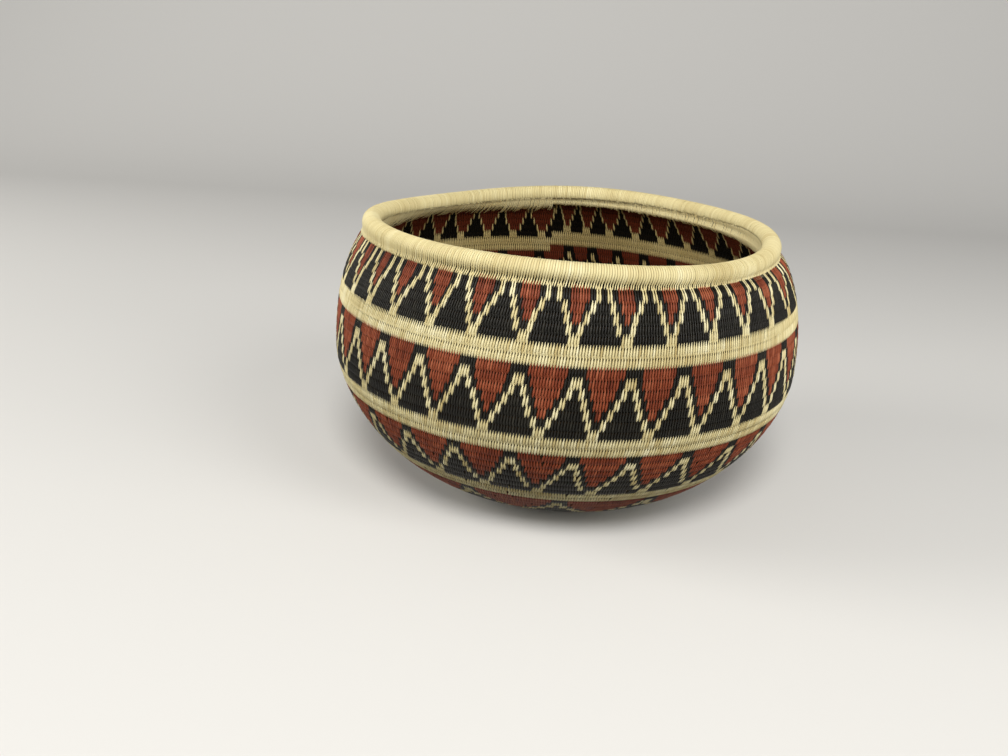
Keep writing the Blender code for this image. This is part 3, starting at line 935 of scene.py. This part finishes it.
def strand_material(name, dark, middle, light, roughness, gloss, bumpiness=0.4):
    """Split plant fibre: every strand has its own tone, fine fibres run along it."""
    made, nodes, links, shader = new_material(name)
    shader.inputs["Specular IOR Level"].default_value = gloss
    tone = new_node(nodes, "Attribute")
    tone.attribute_name = "tone"
    maps = new_node(nodes, "UVMap")
    maps.uv_map = "strand"
    mapping = new_node(nodes, "Mapping", Scale=FIBRE_SCALE)
    links.new(maps.outputs["UV"], mapping.inputs["Vector"])
    fibre = new_node(nodes, "TexNoise", Scale=1.0, Detail=3.0, Roughness=0.6)
    links.new(mapping.outputs["Vector"], fibre.inputs["Vector"])
    place = new_node(nodes, "TexCoord")
    stain = new_node(nodes, "TexNoise", Scale=STAIN_SCALE, Detail=4.0)
    links.new(place.outputs["Object"], stain.inputs["Vector"])
    shade = math_node(nodes, links, "SUBTRACT", tone.outputs["Fac"], STAIN_SHARE / 2)
    shade = math_node(nodes, links, "MULTIPLY_ADD", stain.outputs["Fac"], STAIN_SHARE, shade)
    shade = math_node(nodes, links, "SUBTRACT", shade, FIBRE_SHARE / 2)
    shade = math_node(nodes, links, "MULTIPLY_ADD", fibre.outputs["Fac"], FIBRE_SHARE, shade)
    ramp = new_node(nodes, "ValToRGB")
    colours = ramp.color_ramp.elements
    colours[0].color = (*dark, 1)
    colours[1].color = (*light, 1)
    colours[0].position = 0.05
    colours[1].position = 0.95
    colours.new(0.5).color = (*middle, 1)
    links.new(shade, ramp.inputs["Fac"])
    links.new(ramp.outputs["Color"], shader.inputs["Base Color"])
    rough = new_node(nodes, "MapRange", To_Min=roughness + ROUGHER[0], To_Max=roughness + ROUGHER[1])
    links.new(fibre.outputs["Fac"], rough.inputs["Value"])
    links.new(rough.outputs["Result"], shader.inputs["Roughness"])
    bump = new_node(nodes, "Bump", Strength=bumpiness, Distance=BUMP_DEPTH)
    links.new(fibre.outputs["Fac"], bump.inputs["Height"])
    links.new(bump.outputs["Normal"], shader.inputs["Normal"])
    made.diffuse_color = (*middle, 1)
    return made


cream = strand_material(
    "cream_strand_fibre", dark=(0.50, 0.385, 0.16), middle=(0.72, 0.625, 0.335), light=(0.88, 0.81, 0.53),
    roughness=0.55, gloss=0.30)
# painted light: a brighter, warmer copy of the cream for the inner lapping, standing for light that falls on
# it under the rim
lapping = strand_material(
    "cream_lapping_painted_light", dark=(0.60, 0.44, 0.17), middle=(0.87, 0.71, 0.34), light=(0.95, 0.83, 0.47),
    roughness=0.55, gloss=0.30)
brick = strand_material(
    "brick_strand_fibre", dark=(0.11, 0.019, 0.0065), middle=(0.235, 0.050, 0.019),
    light=(0.40, 0.115, 0.052), roughness=0.50, gloss=0.25)
charcoal = strand_material(
    "charcoal_strand_fibre", dark=(0.003, 0.0025, 0.0015), middle=(0.007, 0.006, 0.0035),
    light=(0.022, 0.020, 0.014), roughness=0.44, gloss=0.27)
# painted shade: the foundation is straw, but it is coloured near black because it shows only in the shadowed
# gaps between stitches; the rim's bundle, hidden under the wraps, shares it
shaded_straw = strand_material(
    "foundation_straw_painted_shade", dark=(0.010, 0.006, 0.003), middle=(0.022, 0.013, 0.006),
    light=(0.045, 0.028, 0.014), roughness=0.85, gloss=0.1, bumpiness=0.5)
FINISHES = [(cream, "cream_strand"), (brick, "brick_strand"), (charcoal, "charcoal_strand")]


# Pieces

for name, first, rows in BANDS:
    node = name if name == "start_knot" else name + "_coil"
    # the foundation's near-black colour is painted shade
    add_piece(name + "_foundation", [coil_core(name, first, rows)], shaded_straw, [node])
    wall = [row_stitches(row, side) for side in (1, -1) for row in range(first, first + rows)]
    for colour, (finish, slot) in enumerate(FINISHES):
        parts = [chosen(part, colours == colour) for part, colours in wall]
        parts = [part for part in parts if len(part["sections"])]
        if parts:
            add_piece(f"{name}_{COLOUR_NAMES[colour]}_stitches", parts, finish, [node])

rim_chance = default_rng(61)
add_piece("start_knot_strands", [knot_strands()], cream, ["start_knot"])
add_piece("rim_lapping", [rim_wraps(rim_chance)], cream, ["rim_wrap"])
add_piece("rim_inner_lapping", [inner_lapping(rim_chance)], lapping, ["rim_wrap"])
add_piece("rim_bundle", [rim_bundle()], shaded_straw, ["rim_core"])


# Stage, camera and light

# The photograph's view, worked out from the ellipses of the rim and the bands
CAMERA_PLACE = (0.0, -0.3838, 0.1763)
CAMERA_TURNS = (-3.43, 19.9, -3.12)  # yaw, pitch and roll in degrees
FOCAL_LENGTH = 1000.0  # in the photograph's pixels
PHOTO_WIDTH = 1008.0  # in pixels
SENSOR_WIDTH = 36.0  # mm

FLOOR_DROP = 0.0001  # the floor lies this far under the bowl
PAPER = (0.70, 0.69, 0.67)
PAPER_BOUNCE = (0.08, 0.078, 0.074)
ROOM_LIGHT = (0.95, 0.97, 1.0)
ROOM_STRENGTH = 0.20
DAYLIGHT = (1.0, 0.985, 0.95)
WARM_DAYLIGHT = (1.0, 0.975, 0.92)
# Name, place, target, size, power and colour
LIGHTS = [
    ("key_right", (0.80, -0.72, 0.90), (0.0, 0.0, 0.06), 0.6, 4.6, DAYLIGHT),
    ("fill_right", (1.15, -0.50, 0.36), (0.0, 0.0, 0.09), 0.5, 4.0, WARM_DAYLIGHT),
    ("key_left", (-1.12, -0.15, 0.44), (0.0, 0.0, 0.09), 0.6, 8.6, WARM_DAYLIGHT),
    ("key_front", (0.02, -0.96, 1.02), (0.0, 0.0, 0.06), 0.5, 14.2, DAYLIGHT),
    ("fill_low", (-0.10, -1.35, 0.30), (0.0, 0.0, 0.08), 0.3, 0.8, DAYLIGHT),
]


def stage_material(name, colour, bounce):
    """Plain surface. What it throws back on the basket is darker than what the camera sees."""
    made, nodes, links, shader = new_material(name)
    shader.inputs["Roughness"].default_value = 0.9
    rays = new_node(nodes, "LightPath")
    mix = new_node(nodes, "Mix")
    mix.data_type = "RGBA"
    mix.inputs["A"].default_value = (*bounce, 1)
    mix.inputs["B"].default_value = (*colour, 1)
    seen = rays.outputs["Is Camera Ray"]
    for kind in ("Is Glossy Ray", "Is Transmission Ray"):
        seen = math_node(nodes, links, "ADD", seen, rays.outputs[kind])
        seen.node.use_clamp = True
    links.new(seen, mix.inputs["Factor"])
    links.new(mix.outputs["Result"], shader.inputs["Base Color"])
    return made


def make_stage():
    """A floor that sweeps up into a backdrop behind."""
    half_width, near, far, bend, high = 2.6, -1.6, 1.1, 0.5, 1.8
    outline = [(near, 0.0), (far - bend, 0.0)]
    for step in range(1, 13):
        turn = math.pi / 2 * step / 12
        outline.append((far - bend + bend * math.sin(turn), bend - bend * math.cos(turn)))
    outline.append((far, high))
    vertices = [(x, y, z - FLOOR_DROP) for y, z in outline for x in (-half_width, half_width)]
    faces = [(a, a + 1, a + 3, a + 2) for a in range(0, len(vertices) - 2, 2)]
    mesh = bpy.data.meshes.new("floor")
    mesh.from_pydata(vertices, [], faces)
    mesh.polygons.foreach_set("use_smooth", [True] * len(faces))
    mesh.materials.append(stage_material("stage_paper", PAPER, PAPER_BOUNCE))
    floor = new_object("floor", mesh)


def add_area(name, place, target, size, power, colour):
    """A round area light that shines from a place at a target."""
    light = bpy.data.lights.new(name, "AREA")
    light.shape = "DISK"
    light.size = size
    light.energy = power
    light.color = colour
    lamp = new_object(name, light)
    lamp.location = place
    direction = Vector(target) - Vector(place)
    lamp.rotation_euler = direction.to_track_quat("-Z", "Y").to_euler()


def make_world():
    """Faint bluish light from all round."""
    world = bpy.data.worlds.new("soft_room")
    bpy.context.scene.world = world
    world.use_nodes = True
    background = world.node_tree.nodes["Background"]
    background.inputs["Color"].default_value = (*ROOM_LIGHT, 1)
    background.inputs["Strength"].default_value = ROOM_STRENGTH


def make_camera():
    """A camera with the photograph's view."""
    yaw, pitch, roll = (math.radians(turn) for turn in CAMERA_TURNS)
    forward = Vector((math.sin(yaw) * math.cos(pitch), math.cos(yaw) * math.cos(pitch), -math.sin(pitch)))
    right = Vector((math.cos(yaw), -math.sin(yaw), 0.0))
    down = forward.cross(right)
    across = math.cos(roll) * right + math.sin(roll) * down
    fall = -math.sin(roll) * right + math.cos(roll) * down
    data = bpy.data.cameras.new("camera")
    data.sensor_width = SENSOR_WIDTH
    data.lens = SENSOR_WIDTH * FOCAL_LENGTH / PHOTO_WIDTH
    data.clip_start = 0.01
    camera = new_object("camera", data)
    turn = Matrix((across, -fall, -forward)).transposed()
    camera.matrix_world = Matrix.Translation(CAMERA_PLACE) @ turn.to_4x4()
    bpy.context.scene.camera = camera


make_stage()
make_world()
make_camera()
for light in LIGHTS:
    add_area(*light)
bpy.context.scene.view_settings.view_transform = "Standard"
